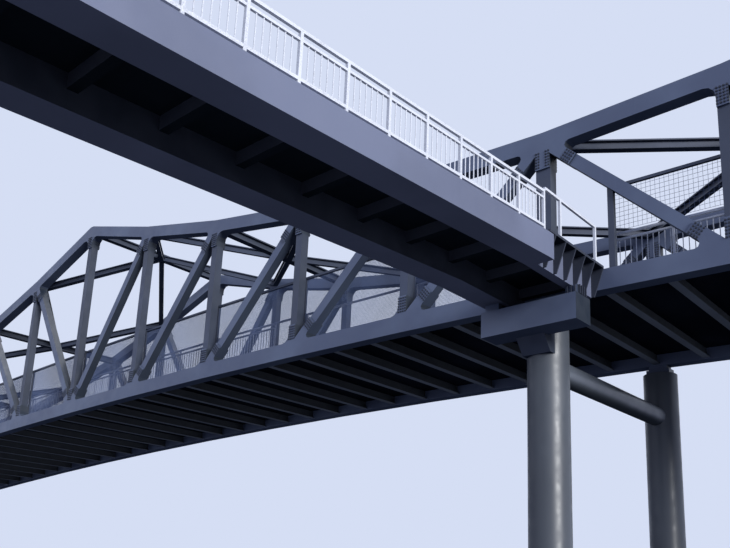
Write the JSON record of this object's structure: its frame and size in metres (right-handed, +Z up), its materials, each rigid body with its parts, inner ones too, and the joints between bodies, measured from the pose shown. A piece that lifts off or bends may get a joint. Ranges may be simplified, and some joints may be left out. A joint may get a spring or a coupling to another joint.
{
  "type": "steel pedestrian overpass, 1:2 scale model",
  "caption": "Through-truss footbridge on round column frames with a side ramp of box girders, railings and fall-guard screens, as a half-size model.",
  "frame": {"origin": "centre of the foot of the middle frame's column on the ramp's side, at ground level", "axes": "+X along the bridge towards its short span, +Y across it away from the ramp, +Z up"},
  "size_m": [38.9348, 14.0974, 8.9688],
  "materials": {
    "slate_paint": "slate blue-grey satin coating on welded plate",
    "underside_paint": "the same coating, dark and dusty on the underside of the deck",
    "galvanised_rail": "pale galvanised and silver-painted steel bars",
    "screen_mesh": "fine coated wire mesh in a dark steel frame",
    "walkway_paving": "gritty anti-slip coating"
  },
  "bodies": {
    "root": {"cap_haunch": "slate_paint", "deck_plate": "underside_paint", "door_post": "slate_paint", "end_bearings": "slate_paint", "end_cap": "slate_paint", "end_column": "slate_paint", "far_bottom_chord": "slate_paint", "far_diagonals": "slate_paint", "far_posts": "slate_paint", "far_railing": "galvanised_rail", "far_screen": "screen_mesh", "far_top_chord": "slate_paint", "floor_beams": "underside_paint", "landing_brackets": "slate_paint", "landing_railings": "galvanised_rail", "left_bearings": "slate_paint", "left_columns": "slate_paint", "left_tie_tube": "slate_paint", "middle_bearings": "slate_paint", "middle_columns": "slate_paint", "middle_tie_tube": "slate_paint", "near_bottom_chord": "slate_paint", "near_diagonals": "slate_paint", "near_posts": "slate_paint", "near_railing_main": "galvanised_rail", "near_railing_side": "galvanised_rail", "near_screen_main": "screen_mesh", "near_screen_side": "screen_mesh", "near_top_chord": "slate_paint", "paving": "walkway_paving", "ramp_bearings": "slate_paint", "ramp_cap": "slate_paint", "ramp_cross_beams": "underside_paint", "ramp_deck_plate": "underside_paint", "ramp_left_girder": "slate_paint", "ramp_left_railing": "galvanised_rail", "ramp_paving": "walkway_paving", "ramp_right_girder": "slate_paint", "ramp_right_railing": "galvanised_rail", "right_bearings": "slate_paint", "right_columns": "slate_paint", "right_tie_tube": "slate_paint", "threshold": "slate_paint", "top_braces": "slate_paint", "top_struts": "slate_paint"}
  },
  "joints": []
}
